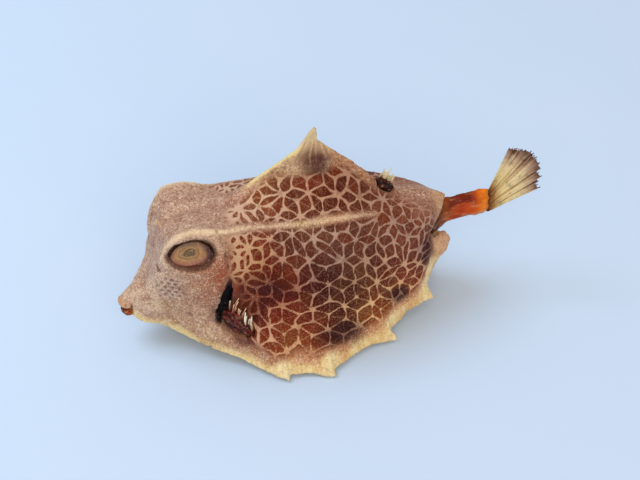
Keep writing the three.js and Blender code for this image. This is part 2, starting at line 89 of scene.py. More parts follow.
CHIN = ([(9, 0, 13.2), (6.6, 0, 13), (4.8, 0, 12.9), (3.5, 0, 12.9)], (3.4, 3, 2.3, 1.2))
UPPER_LIP = ([(0.4, 0, 13.7), (1.6, 0, 14.2), (3.4, 0, 14.6), (5.4, 0, 14.8)], (0.4, 1.4, 1.9, 2.1))
LOWER_LIP = ([(2.2, 0, 10.7), (3.8, 0, 10.3), (5.6, 0, 9.9), (7.4, 0, 9.6)], (1.2, 1.6, 1.6, 1.4))
PECTORAL_ROOT = ([(27.9, 16, 17), (29.3, 16.8, 16.5), (31.1, 17.6, 15.2), (32.5, 18.4, 13.2)],
                 (1.1, 2.1, 2.1, 1.3))

# ---- single places on it: x, z, or x, |y|, z ----
NOTCHES = [(74.2, 19.9, 4.1), (87.6, 10.8, 7.4), (58.6, 0, 58.4)]  # hollows behind the spines
THORN_STATIONS = (40.3, 53, 73.4, 86.6)
SPINE_TIP = (56.2, 63)
HORN_TIP = (12.1, 0, 40.4)
EYE_CENTRE = (19.5, 35.8)
EYE_RADII = (6.3, 4.6)
EYE_TILT = 0.1  # rise of the eye's long axis toward the tail
NODE_EYE_Z = 36.7  # the height of the CAD eye
GILL = (27.2, 20.6)
GILL_HALF = 8.4  # half the slit's length
NOSTRIL = (10.8, 29)
PIT = (17.9, 14.6)
FIN_POCKET = (30.4, 14)  # the hollow that the pectoral fin sits in
CHEEK_PATCH = (13.6, 23.6)
CHEEK_DOTS = (1.75, 1.5)  # the dots' spacing along x and z
CHEEK_RING = (23.8, 10.1)


def srgb(r, g, b):
    """A colour as 0-255 sRGB, made linear."""
    c = np.array((r, g, b), float) / 255
    return np.where(c <= 0.04045, c / 12.92, ((c + 0.055) / 1.055) ** 2.4)


def rgba(r, g, b):
    return (*srgb(r, g, b), 1.0)


def smooth(a, b, t):
    """0 at a, 1 at b, eased."""
    u = np.clip((np.asarray(t, float) - a) / (b - a), 0, 1)
    return u * u * (3 - 2 * u)


def layered(colours, *layers):
    """Colours with more laid over them: each layer is a colour and its amount, 0 to 1, at each point."""
    for goal, amount in layers:
        colours = colours + (srgb(*goal) - colours) * amount[:, None]
    return colours


def unit(way):
    return way / np.linalg.norm(way)


def cross(p, q):
    return p[..., 0] * q[..., 1] - p[..., 1] * q[..., 0]


def oval(u, v, centre, radii=(1, 1)):
    """The distance from a centre, 1 on an oval with these radii."""
    return np.hypot((u - centre[0]) / radii[0], (v - centre[1]) / radii[1])


def both_sides(path):
    """A path on the left flank and its mirror on the right."""
    return [np.array(path) * (1, flank, 1) for flank in (-1, 1)]


def ridge_at(ridge, x, column=-1):
    """A column of a ridge's list, its height unless told otherwise, at x."""
    return np.interp(x, ridge[:, 0], ridge[:, column])


# ---- meshes ----
def in_scene(name, data):
    obj = bpy.data.objects.new(name, data)
    bpy.context.scene.collection.objects.link(obj)
    return obj


def merged_copy(name, source):
    """A new object with the source's mesh, its corners welded."""
    mesh = source.data.copy()
    work = bmesh.new()
    work.from_mesh(mesh)
    bmesh.ops.remove_doubles(work, verts=work.verts, dist=1e-6)
    work.to_mesh(mesh)
    work.free()
    mesh.materials.clear()
    return in_scene(name, mesh)


def remesh(obj, voxel):
    """Makes the object's parts one even skin, with voxels of so many millimetres."""
    modifier = obj.modifiers.new("remesh", "REMESH")
    modifier.mode = "VOXEL"
    modifier.voxel_size = voxel * MM
    graph = bpy.context.evaluated_depsgraph_get()
    made = bpy.data.meshes.new_from_object(obj.evaluated_get(graph))
    obj.modifiers.clear()
    old = obj.data
    obj.data = made
    bpy.data.meshes.remove(old)
    made.polygons.foreach_set("use_smooth", np.ones(len(made.polygons), bool))


def tube(path, radii, sides=8, flat=1.0, across=(0, 1, 0)):
    """Corners and faces of a closed tube along a path; flat is its thickness over its width."""
    path = np.asarray(path, float)
    radii = np.broadcast_to(np.asarray(radii, float), len(path))
    ways = np.gradient(path, axis=0)
    corners, faces = [], []
    lead = np.array(across, float)
    for k, (spot, way, radius) in enumerate(zip(path, ways, radii)):
        way = way / (np.linalg.norm(way) + 1e-9)
        u = lead - way * (lead @ way)
        u /= np.linalg.norm(u) + 1e-9
        v = np.cross(way, u)
        for j in range(sides):
            turn = 2 * math.pi * j / sides
            corners.append(spot + radius * (math.cos(turn) * u * flat + math.sin(turn) * v))
        if k:
            base = (k - 1) * sides
            for j in range(sides):
                other = (j + 1) % sides
                faces.append((base + j, base + other, base + sides + other, base + sides + j))
    last = (len(path) - 1) * sides
    faces.append(tuple(reversed(range(sides))))
    faces.append(tuple(last + j for j in range(sides)))
    return np.array(corners), faces


def build(name, parts):
    """An object of several closed parts, each (corners, faces), in fish coordinates."""
    corners, faces, count = [], [], 0
    for verts, quads in parts:
        corners.append(verts)
        faces += [tuple(i + count for i in quad) for quad in quads]
        count += len(verts)
    co = np.concatenate(corners)
    co[:, 0] += MOUTH_X
    mesh = bpy.data.meshes.new(name)
    mesh.from_pydata((co * MM).tolist(), [], faces)
    mesh.update()
    mesh.polygons.foreach_set("use_smooth", np.ones(len(mesh.polygons), bool))
    return in_scene(name, mesh)


def add_parts(obj, parts):
    """Joins closed parts to the object's mesh, for a remesh to fuse."""
    extra = build("extra", parts)
    work = bmesh.new()
    work.from_mesh(obj.data)
    work.from_mesh(extra.data)
    work.to_mesh(obj.data)
    work.free()
    bpy.data.objects.remove(extra)


def points(obj):
    """The vertices in fish coordinates, and their normals."""
    mesh = obj.data
    co = np.empty(len(mesh.vertices) * 3)
    mesh.vertices.foreach_get("co", co)
    co = co.reshape(-1, 3) / MM
    co[:, 0] -= MOUTH_X
    normals = np.empty(len(co) * 3)
    mesh.vertex_normals.foreach_get("vector", normals)
    return co, normals.reshape(-1, 3)


def set_points(obj, co):
    out = np.array(co)
    out[:, 0] += MOUTH_X
    obj.data.vertices.foreach_set("co", (out * MM).ravel())
    obj.data.update()


def relax(obj, rounds, pull=0.5, push=-0.53):
    """Smooths the mesh and keeps its volume."""
    co, _ = points(obj)
    mesh = obj.data
    ends = np.empty(len(mesh.edges) * 2, int)
    mesh.edges.foreach_get("vertices", ends)
    a, b = ends[0::2], ends[1::2]
    valence = np.bincount(ends, minlength=len(co)).astype(float)[:, None]
    for step in range(rounds * 2):
        total = np.stack([
            np.bincount(a, co[b, k], len(co)) + np.bincount(b, co[a, k], len(co)) for k in range(3)
        ], 1)
        co += (pull if step % 2 == 0 else push) * (total / valence - co)
    set_points(obj, co)


def keep(obj, **fields):
    """Stores numbers or colours at the vertices for the material."""
    for name, values in fields.items():
        values = np.asarray(values, np.float32)
        if values.ndim == 1:
            obj.data.attributes.new(name, "FLOAT", "POINT").data.foreach_set("value", values)
            continue
        full = np.column_stack((values, np.ones(len(values), np.float32))).ravel()
        obj.data.attributes.new(name, "FLOAT_COLOR", "POINT").data.foreach_set("color", full)


def lumps(co, size, seed):
    """Smooth noise from -1 to 1 made of a few turned waves."""
    rng = np.random.default_rng(seed)
    total = np.zeros(len(co))
    for _ in range(9):
        way = rng.normal(size=3)
        way *= 2 * math.pi / (size * rng.uniform(0.6, 1.6) * np.linalg.norm(way))
        total += np.sin(co @ way + rng.uniform(0, 2 * math.pi))
    return np.clip(total / 4.2, -1, 1)


# ---- materials ----
class Graph:
    """A node material, written as expressions."""

    def __init__(self, name):
        self.material = bpy.data.materials.new(name)
        self.material.use_nodes = True
        self.tree = self.material.node_tree
        self.tree.nodes.clear()
        self.place = self.node("ShaderNodeTexCoord").outputs["Object"]

    def node(self, kind, **settings):
        made = self.tree.nodes.new(kind)
        for key, value in settings.items():
            setattr(made, key, value)
        return made

    def feed(self, socket, value):
        if isinstance(value, bpy.types.NodeSocket):
            self.tree.links.new(value, socket)
        else:
            socket.default_value = value

    def value(self, name):
        return self.node("ShaderNodeAttribute", attribute_name=name).outputs["Fac"]

    def colour(self, name):
        return self.node("ShaderNodeAttribute", attribute_name=name).outputs["Color"]

    def math(self, operation, a, b=0.0, c=0.0):
        made = self.node("ShaderNodeMath", operation=operation)
        for socket, value in zip(made.inputs, (a, b, c)):
            self.feed(socket, value)
        return made.outputs[0]

    def times(self, a, b):
        return self.math("MULTIPLY", a, b)

    def ramp(self, value, a, b, low=0.0, high=1.0):
        """low at a, high at b, eased."""
        made = self.node("ShaderNodeMapRange", interpolation_type="SMOOTHSTEP")
        keys = ("Value", "From Min", "From Max", "To Min", "To Max")
        for key, item in zip(keys, (value, a, b, low, high)):
            self.feed(made.inputs[key], item)
        return made.outputs[0]

    def mix(self, factor, a, b, blend="MIX"):
        made = self.node("ShaderNodeMix", data_type="RGBA", blend_type=blend)
        self.feed(made.inputs[0], factor)
        self.feed(made.inputs[6], a)
        self.feed(made.inputs[7], b)
        return made.outputs[2]

    def stretched(self, x, y, z):
        made = self.node("ShaderNodeMapping")
        self.feed(made.inputs["Vector"], self.place)
        made.inputs["Scale"].default_value = (x, y, z)
        return made.outputs[0]

    def noise(self, size, detail=3.0, roughness=0.55, where=None):
        """Cloudy noise about 0.5; size in millimetres."""
        made = self.node("ShaderNodeTexNoise")
        self.feed(made.inputs["Vector"], where or self.place)
        made.inputs["Scale"].default_value = 1 / (size * MM)
        made.inputs["Detail"].default_value = detail
        made.inputs["Roughness"].default_value = roughness
        return made.outputs["Fac"]

    def grains(self, size, feature="F1", where=None):
        made = self.node("ShaderNodeTexVoronoi", feature=feature)
        self.feed(made.inputs["Vector"], where or self.place)
        made.inputs["Scale"].default_value = 1 / (size * MM)
        return made.outputs["Distance"]

    def bump(self, height, depth, after=None):
        """Depth in millimetres for a height of 1."""
        made = self.node("ShaderNodeBump")
        made.inputs["Distance"].default_value = depth * MM
        self.feed(made.inputs["Height"], height)
        if after is not None:
            self.feed(made.inputs["Normal"], after)
        return made.outputs[0]

    def surface(self, colour, roughness, normal, **constants):
        made = self.node("ShaderNodeBsdfPrincipled")
        self.feed(made.inputs["Base Color"], colour)
        self.feed(made.inputs["Roughness"], roughness)
        self.feed(made.inputs["Normal"], normal)
        for key, value in constants.items():
            made.inputs[key.replace("_", " ")].default_value = value
        out = self.node("ShaderNodeOutputMaterial")
        self.tree.links.new(made.outputs[0], out.inputs[0])
        return self.material


def wear(piece, material):
    piece.data.materials.clear()
    piece.data.materials.append(material)


def place(piece, material, node):
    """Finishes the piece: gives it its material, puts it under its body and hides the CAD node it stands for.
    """
    wear(piece, material)
    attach(piece, "root")
    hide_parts(node)


# ---- the plate pattern ----
def lattice(seed, across, down, step):
    """Plate centres over (x, w): rows that lean back, tight near the head and the tail, then evened out."""
    rng = np.random.default_rng(seed)
    (x0, x1), (w0, w1) = across, down
    stars = []
    for row in range(-6, 12):
        w_row = 3.5 + 6.4 * row
        first = 46.2 + (4.1 if row % 2 else 0.0)
        x = first
        run = []
        while x < x1 + 8:
            run.append(x)
            x += step(x, w_row)
        x = first
        while x > x0 - 8:
            x -= step(x, w_row)
            run.append(x)
        stars += [(x, w_row + 0.19 * (x - 46.3)) for x in run]
    stars = np.array(stars)
    stars += rng.normal(0, 0.5, stars.shape)
    inside = (stars[:, 0] > x0 - 6) & (stars[:, 0] < x1 + 6) & (stars[:, 1] > w0 - 6) & (stars[:, 1] < w1 + 6)
    stars = stars[inside]
    extra = rng.uniform((x0 - 6, w0 - 6), (x1 + 6, w1 + 6), (2600, 2))
    for spot in extra:
        reach = 0.78 * step(*spot)
        if np.min(np.hypot(*(stars - spot).T)) > reach:
            stars = np.vstack([stars, spot])
    for _ in range(40):
        apart = stars[:, None] - stars[None]
        gap = np.hypot(apart[..., 0], apart[..., 1]) + 1e-9
        want = np.array([step(*s) for s in stars])
        want = (want[:, None] + want[None]) / 2
        shove = np.clip(want - gap, 0, None) * (gap > 1e-6)
        stars = stars + 0.16 * np.sum(apart / gap[..., None] * shove[..., None], 1)
    return stars


def segment_distance(p, a, b):
    way = b - a
    t = np.clip(((p - a) @ way) / (way @ way + 1e-12), 0, 1)
    return np.hypot(*(p - a - t[:, None] * way).T)


def plates(where, stars, seed):
    """At each point: distance to the nearest raised spoke, thin seam, star and knot, and the cell's tone."""
    rng = np.random.default_rng(seed)
    faces = delaunay_2d_cdt([Vector(s) for s in stars], [], [], 0, 1e-6)[2]
    spoke, seam, star, knot = (np.full(len(where), 9.0) for _ in range(4))
    tone = np.zeros(len(where))
    tones = {}
    for face in faces:
        corners = stars[list(face)]
        centre = corners.mean(0)
        near = np.flatnonzero(np.all(np.abs(where - centre) < np.abs(corners - centre).max(0) + 0.1, 1))
        p = where[near]
        a, b, c = corners
        turn = cross(b - a, c - a)
        if abs(turn) < 1e-6:
            continue
        v = cross(p - a, c - a) / turn
        u = cross(b - a, p - a) / turn
        held = (u > -1e-3) & (v > -1e-3) & (u + v < 1.001)
        near, p = near[held], p[held]
        if not len(near):
            continue
        rays = np.stack([segment_distance(p, s, centre) for s in corners])
        spoke[near] = rays.min(0)
        knot[near] = np.hypot(*(p - centre).T)
        star[near] = np.min([np.hypot(*(p - s).T) for s in corners], 0)
        middles = [(corners[k] + corners[(k + 1) % 3]) / 2 for k in range(3)]
        halves = np.stack([segment_distance(p, m, centre) for m in middles])
        seam[near] = halves.min(0)
        sides = []
        for k in range(3):
            key = tuple(sorted((face[k], face[(k + 1) % 3])))
            tones.setdefault(key, rng.uniform(-1, 1))
            sides.append(tones[key])
        # a cell is the rhomb about one side of the triangle: the side opposite the farthest corner
        far = np.stack([np.hypot(*(p - s).T) for s in corners])
        tone[near] = np.roll(sides, -1)[far.argmax(0)]
    return spoke, seam, star, knot, tone


# ---- colours over the shell ----
# x and w (millimetres round the section from the upper ridge, down the flank; negative up the back),
# then the cells' colour and the raised lines' colour
CELL_PLACES = [
    (28, 5, (120, 66, 42), (196, 160, 132)), (31, 9, (112, 40, 14), (190, 150, 112)),
    (36, 10, (104, 36, 10), (178, 132, 92)), (38, 17, (70, 8, 2), (122, 52, 34)),
    (44, 15, (86, 16, 4), (150, 92, 66)), (33, 20, (100, 30, 6), (140, 80, 50)),
    (40, 26, (112, 34, 6), (186, 136, 104)), (46, 29, (112, 36, 8), (190, 140, 104)),
    (36, 30, (112, 50, 24), (196, 156, 128)), (46, 7, (92, 54, 40), (176, 142, 124)),
    (54, 5, (100, 68, 56), (172, 142, 126)), (52, 13, (66, 28, 22), (150, 116, 104)),
    (60, 9, (104, 72, 64), (166, 136, 122)), (66, 12, (82, 46, 36), (160, 126, 110)),
    (74, 6, (112, 80, 72), (162, 130, 118)), (82, 8, (112, 70, 58), (164, 130, 116)),
    (54, 20, (60, 10, 4), (158, 116, 92)), (62, 18, (46, 10, 6), (160, 118, 92)),
    (68, 16, (84, 22, 8), (176, 132, 100)), (74, 15, (92, 42, 20), (190, 150, 118)),
    (80, 15, (96, 40, 24), (186, 146, 120)), (55, 25, (72, 30, 14), (192, 152, 114)),
    (64, 25, (84, 44, 20), (206, 170, 124)), (71, 23, (104, 56, 24), (208, 170, 122)),
    (77, 20, (128, 60, 28), (206, 162, 120)), (52, 31, (110, 50, 26), (196, 150, 116)),
    (68, 30, (150, 88, 50), (214, 176, 130)), (44, 34, (140, 84, 50), (206, 168, 126)),
    (34, -5, (128, 88, 70), (196, 162, 142)), (44, -6, (100, 58, 42), (186, 148, 126)),
    (40, -11, (150, 104, 76), (206, 176, 140)), (52, -7, (88, 42, 24), (184, 144, 116)),
    (54, -13, (110, 52, 28), (178, 134, 106)), (60, -8, (84, 34, 18), (180, 136, 110)),
    (66, -6, (100, 56, 40), (166, 126, 106)), (74, -4, (110, 70, 54), (172, 136, 116)),
    (82, -3, (128, 78, 58), (176, 138, 118)),
]
SKIN_PLACES = [
    (4, 2, (204, 170, 138)), (8, 2, (222, 196, 172)), (10, 8, (212, 184, 158)), (12, -3, (182, 146, 126)),
    (14, -10, (178, 136, 112)), (20, -7, (184, 146, 128)), (28, -6, (178, 138, 120)),
    (34, -9, (184, 140, 116)), (26, 2, (206, 178, 150)), (14, 14, (176, 136, 110)),
    (20, 16, (180, 138, 106)), (26, 11, (176, 108, 66)), (25, 17, (168, 98, 56)), (14, 22, (176, 138, 116)),
    (20, 26, (172, 136, 116)), (12, 27, (206, 172, 126)), (24, 31, (196, 156, 116)),
    (28, 34, (160, 118, 98)), (34, 33, (176, 124, 88)), (31.5, 14, (104, 30, 12)), (32, 18, (96, 22, 8)),
    (35, 18, (84, 10, 4)), (33, 22, (112, 44, 14)), (36, 24, (116, 40, 16)), (30, 11, (150, 84, 50)),
    (46, 36, (206, 146, 98)), (60, 34, (212, 156, 106)), (74, 27, (214, 160, 112)),
    (84, 18, (190, 144, 112)), (88, 8, (168, 128, 108)), (86, -3, (166, 124, 104)), (72, -6, (150, 104, 82)),
    (56, -18, (190, 156, 126)), (46, -13, (206, 172, 130)), (50, -15, (212, 184, 144)),
    (62, -14, (196, 142, 96)), (67, -11, (186, 128, 84)),
]
BLOTCHES = [  # x, w, radius along x, radius down, strength
    (58.5, 33.2, 8, 4.4, 1.0), (76.5, 26, 5, 3.2, 1.0), (86.5, 14, 3, 5.2, 0.95),
    (56.4, -15.8, 5.2, 3.9, 1.0), (30.6, 33.4, 3, 2, 0.75), (39, 17, 4.5, 2.4, 0.5),
    (83, 11.5, 1.6, 2.6, 0.4),
]
COLOUR_REACH = 4.2  # how far a listed place's colour carries
CREAM = (230, 210, 150)


def painted(x, w, spots, column):
    """Colours blended from the nearest listed places."""
    total = np.zeros((len(x), 3))
    weight = np.zeros(len(x))
    for spot in spots:
        away = (x - spot[0]) ** 2 + (w - spot[1]) ** 2
        near = np.exp(-away / (2 * COLOUR_REACH * COLOUR_REACH)) + 1e-7
        total += near[:, None] * srgb(*spot[column])
        weight += near
    return total / weight[:, None]


def shell_parts():
    """Closed parts that fuse with the shell: the keel's core, spines, rear flanges, horn, snout and chin."""
    parts = []
    for depth, bead in ((0.4, 0.5), (1.1, 0.55), (1.9, 0.6), (2.8, 0.6)):
        for first, final in ((32, 56), (56, 75)):
            stations = np.arange(first, final + 0.5, 1.0)
            high = ridge_at(CREST, stations) - depth - 0.9 * smooth(3, 0, np.abs(stations - 56)) - 0.25
            parts.append(tube(np.stack([stations, 0 * stations, high], 1), bead))
    for path, radii in THORNS:
        parts += [tube(bent, radii, 10, 1.0, (0, 0, 1)) for bent in both_sides(path)]
    path, radii = REAR_FLANGE
    parts += [tube(bent, radii, 16, 0.55) for bent in both_sides(path)]
    parts += [tube(*part) for part in (*DORSAL_SPINE, HORN)]
    return parts + [tube(*SNOUT, 16, 1.4), tube(*CHIN, 16, 1.35)]


def shell_mesh():
    """The carapace and what stands out from it, as one even mesh with hollows behind the spines."""
    shell = merged_copy("shell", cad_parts["carapace"])
    add_parts(shell, shell_parts())
    remesh(shell, 0.44)
    relax(shell, 5)
    co, _ = points(shell)
    for notch in NOTCHES:
        away = np.linalg.norm(np.abs(co) - notch, axis=1)
        co[:, 0] -= 1.7 * np.exp(-(away / 1.5) ** 2)
    set_points(shell, co)
    return shell


def shell_places(co, normals):
    """Where each point lies: on the fish, round the section, and from the ridges, the belly and the eye."""
    x, side, z = co[:, 0], np.abs(co[:, 1]), co[:, 2]
    out = side - ridge_at(UPPER_RIDGE, x, 1)
    drop = ridge_at(UPPER_RIDGE, x) - z
    w = np.hypot(out, drop) * np.where(out + drop > 0, 1, -1)
    beyond = side - ridge_at(LOWER_RIDGE, x, 1)
    eye_x = x - EYE_CENTRE[0]
    eye = np.hypot(eye_x / EYE_RADII[0], (z - EYE_CENTRE[1] - EYE_TILT * eye_x) / EYE_RADII[1])
    tips = np.zeros(len(x))
    for path, _ in THORNS:
        tips = np.maximum(tips, smooth(4.2, 2, np.linalg.norm(np.abs(co) - path[-1], axis=1)))
    return SimpleNamespace(
        co=co, x=x, y=co[:, 1], z=z, side=side, w=w, beyond=beyond, tips=tips,
        margin=np.hypot(beyond, z - ridge_at(LOWER_RIDGE, x)),
        crest=np.hypot(side, z - ridge_at(CREST, x)),
        belly=smooth(-0.35, -0.7, normals[:, 2]) * (beyond < 1) * smooth(9, 6, z),
        eye=np.where(w > -2, eye, 9),
        wobble=lumps(co, 9, 3),
    )


def plate_step(x, w):
    """The distance between plate centres on the flank and the back."""
    size = np.interp(x, (20, 30, 36, 44, 50, 58, 70, 80, 90), (3.4, 3.9, 5.4, 7.6, 8.2, 8.2, 7, 6, 5.2))
    return float(size * np.interp(w, (-14, -4, 3, 8, 14, 36), (0.9, 0.82, 0.72, 0.86, 1, 1)))


def belly_step(x, _):
    return float(np.interp(x, (5, 30, 90), (4.4, 7.6, 7)))


def shell_plates(at):
    """The pattern of plates() over the left side, the right side and the belly."""
    fields = [np.full(len(at.x), 9.0) for _ in range(5)]
    warp = 0.55 * np.stack([lumps(at.co, 7, 5), lumps(at.co, 7, 6)], 1)
    warp += 0.2 * np.stack([lumps(at.co, 3, 15), lumps(at.co, 3, 16)], 1)
    flat = np.stack([at.x, at.w], 1) + warp
    for number, half in enumerate((at.y < 0, at.y >= 0)):
        stars = lattice(11 + number, (22, 92), (-22, 44), plate_step)
        for into, made in zip(fields, plates(flat[half], stars, 21 + number)):
            into[half] = made
    under = at.belly > 0.4
    stars = lattice(31, (2, 92), (-32, 32), belly_step)
    for into, made in zip(fields, plates(np.stack([at.x, at.y], 1)[under], stars, 41)):
        into[under] = made
    return fields


def plate_cover(at):
    """How far the plates show: not on the head, the margins, the crest or the ridge."""
    x, w, wobble = at.x, at.w, at.wobble
    front = smooth(26, 30.5, x + 1.5 * wobble - 0.32 * np.clip(-w, 0, 14) - 3 * smooth(13, 20, w))
    shown = front * smooth(3.6, 7.4, at.margin + 1.2 * wobble) * smooth(1.6, 4.4, at.crest + 0.8 * wobble)
    shown *= smooth(0.5, 1.9, np.abs(w) + 0.4 * wobble + 9 * smooth(70, 76, x))
    shown *= smooth(91.5, 87.5, x + wobble + 1.5 * smooth(6, 12, w)) * smooth(-15.5, -12.5, w + wobble)
    shown *= 1 - 0.55 * smooth(76, 84, x + 3 * wobble) * smooth(4, -2, w)
    shown = np.where(at.belly > 0.4, 0.75 * smooth(1.5, 4, at.margin), shown)
    return shown * (1 - at.tips)


def pale_marks(at):
    """The cream parts: the thorned edge, the keel, the brow, the ridge's band and the rear rim."""
    x, w, wobble = at.x, at.w, at.wobble
    thorny = sum(np.exp(-((x - station) / 2.4) ** 2) for station in THORN_STATIONS)
    edge = smooth(3.5, 0.3, at.margin + 1.3 * wobble - 0.7 * smooth(33, 40, x) - 1.9 * thorny)
    edge = np.maximum(edge, smooth(0.2, 1.2, at.beyond) * smooth(20, 12, at.z))
    striated = np.maximum(edge, at.tips)
    keel = smooth(1.9, 0.7, at.crest + 0.5 * wobble) * smooth(34, 40, x) * smooth(62, 54, x)
    edge = np.maximum.reduce([striated, keel, smooth(56.5, 59, at.z)])
    brow = smooth(1.35, 0.1, np.abs(w - 0.2) + 0.2 * wobble) * smooth(8, 12, x) * smooth(36, 28, x)
    band = smooth(0.9, 0.15, np.abs(w) + 0.3 * wobble) * smooth(28, 32, x) * smooth(76, 66, x)
    band *= 1 - 0.65 * np.exp(-((x - 49) / 5.5) ** 2)
    rim = smooth(87.3, 90.2, x + 0.6 * wobble) * (0.6 + 0.4 * smooth(8, 14, w))
    cream = np.maximum.reduce([edge, 0.95 * brow, 0.55 * band, 0.7 * rim])
    return SimpleNamespace(thorny=np.clip(thorny, 0, 1), edge=edge, striated=striated,
                           line=np.maximum(brow, band), rim=rim, cream=cream)


def dark_marks(at):
    """The blotches, and the streaked fan that falls from the dorsal spine."""
    dark = np.zeros(len(at.x))
    for x, w, along, down, strength in BLOTCHES:
        away = oval(at.x, at.w, (x, w), (along, down))
        dark = np.maximum(dark, strength * smooth(1.25, 0.35, away + 0.2 * at.wobble))
    dx, dz = at.x - SPINE_TIP[0], SPINE_TIP[1] - at.z
    from_tip = np.hypot(dx, dz)
    bearing = np.arctan2(dx, dz)
    stripe = 0.5 * np.sin(bearing * 30 + 1.5 * at.wobble) + 0.5 * np.sin(bearing * 47 + 2)
    fan = smooth(14, 9, from_tip + 1.5 * at.wobble) * smooth(-8, -11, at.w) * (at.side < 9)
    return SimpleNamespace(dark=dark * (1 - at.belly), from_tip=from_tip, stripe=stripe, fan=fan)


def gill_marks(at):
    """The gill slit and the painted shade along its edge, the bruised skin round it, and the painted shade in
    the hollow round the pectoral fin.
    """
    x, z = at.x, at.z
    lean = (x - GILL[0]) * 0.95 - (z - GILL[1]) * 0.3
    rise = (x - GILL[0]) * 0.3 + (z - GILL[1]) * 0.95
    bow = lean - 0.25 + np.where(rise > 0, 0.018, 0) * rise * rise
    lens = (1.2 - 0.08 * rise) * np.sqrt(np.clip(1 - (rise / GILL_HALF) ** 2, 0, 1))
    lens += 0.28 * lumps(at.co, 2.2, 33)
    # painted shade along the slit's front edge
    slit_edge_shade = smooth(2.6, 0.4, np.abs(bow + 0.6) - lens * 0.6) * smooth(9.5, 6, np.abs(rise + 0.5))
    fin_x, fin_z = x - FIN_POCKET[0], z - FIN_POCKET[1]
    pocket = np.hypot((fin_x * 0.74 - fin_z * 0.67) / 6.4, (fin_x * 0.67 + fin_z * 0.74) / 3.9)
    behind = smooth(1.25, 0.7, oval(x, z, (33.2, 21.5), (5.2, 7.5)) + 0.15 * at.wobble)
    ahead = smooth(1.3, 0.5, oval(x, z, (27.6, 27.4), (2.8, 5)) + 0.2 * at.wobble)
    return SimpleNamespace(
        gill=smooth(0.35, -0.35, np.abs(bow) - lens) * (at.side > 10),
        slit_edge_shade=slit_edge_shade * (at.side > 10),
        shade=smooth(1.5, 1.0, pocket) * (at.side > 12),
        behind=behind * (at.side > 12) * smooth(-1, 1.5, lean),
        ahead=ahead * (at.side > 10),
    )


def head_marks(at):
    """The nostril, the pit, the ring below it, and the cheek's pale patch of dots in rows."""
    x, z = at.x, at.z
    hole = smooth(1.2, 0.6, oval(x, z, NOSTRIL, (1.7, 1))) * (at.w > -2.5) * (at.w < 3)
    pit = smooth(0.9, 0.4, oval(x, z, PIT)) * (at.side > 8)
    patch = smooth(4.4, 2.8, oval(x, z, CHEEK_PATCH, (1, 1.25))) * (at.side > 4)
    column, row = x / CHEEK_DOTS[0], z / CHEEK_DOTS[1]
    column = column + 0.5 * (np.round(row) % 2)
    dot = np.hypot((column - np.round(column)) * CHEEK_DOTS[0], (row - np.round(row)) * CHEEK_DOTS[1])
    return SimpleNamespace(
        hole=hole, pit=pit, patch=patch, dots=patch * smooth(0.66, 0.36, dot + 0.1 * at.wobble),
        ring=smooth(0.7, 0.3, np.abs(oval(x, z, CHEEK_RING) - 1.5)) * (at.side > 11),
    )


def plate_colours(at, tone, shown, dark):
    """The colours of the sunk cells and of the raised lines."""
    x, w, wobble = at.x, at.w, at.wobble
    maroon = smooth(1.35, 0.6, oval(x, w, (38.5, 17.5), (6.5, 4.6)) + 0.2 * wobble)
    by_fin = smooth(1.3, 0.7, oval(x, at.z, (33.2, 21), (4.6, 6.4)) + 0.2 * wobble) * (w > 5)
    maroon = np.maximum(maroon, by_fin)
    cell = painted(x, w, CELL_PLACES, 2)
    cell *= (1 + 0.34 * tone * shown)[:, None] * (0.95, 0.6, 0.4)
    cell = layered(
        cell,
        ((96, 60, 20), 0.5 * smooth(0.3, 0.9, tone) * smooth(8, 14, w) * shown),
        ((134, 52, 14), 0.45 * smooth(-0.4, -0.9, tone) * shown),
        ((54, 4, 2), 0.6 * maroon),
        ((48, 12, 14), 0.95 * dark),
        ((176, 132, 96), at.belly),
    )
    lines = painted(x, w, CELL_PLACES, 3)
    lines *= 1.06 + np.outer(smooth(6, 22, w), (0.06, 0.03, 0.03))
    lines = layered(
        lines, ((112, 50, 36), 0.75 * maroon), ((112, 74, 68), 0.85 * dark), ((222, 204, 164), at.belly),
    )
    return cell, lines


def cream_colour(at, pale):
    """The cream itself: duller between the thorns, whiter on the ridge and the thorns, pink at the rear."""
    low = at.w > 5
    cloud = smooth(0.2, 0.9, 0.5 + 0.5 * lumps(at.co, 7, 35))
    dull = (1 - pale.thorny) * smooth(30, 40, at.x) * cloud * low
    return layered(
        srgb(*CREAM),
        ((204, 152, 92), 0.75 * dull),
        ((236, 214, 178), smooth(0.05, 0.2, pale.line - pale.edge)),
        ((238, 228, 184), 0.6 * pale.thorny * low),
        ((226, 178, 136), 0.7 * smooth(0.1, 0.5, pale.rim - pale.edge)),
        ((200, 180, 150), 0.8 * smooth(55, 58, at.z)),
    )


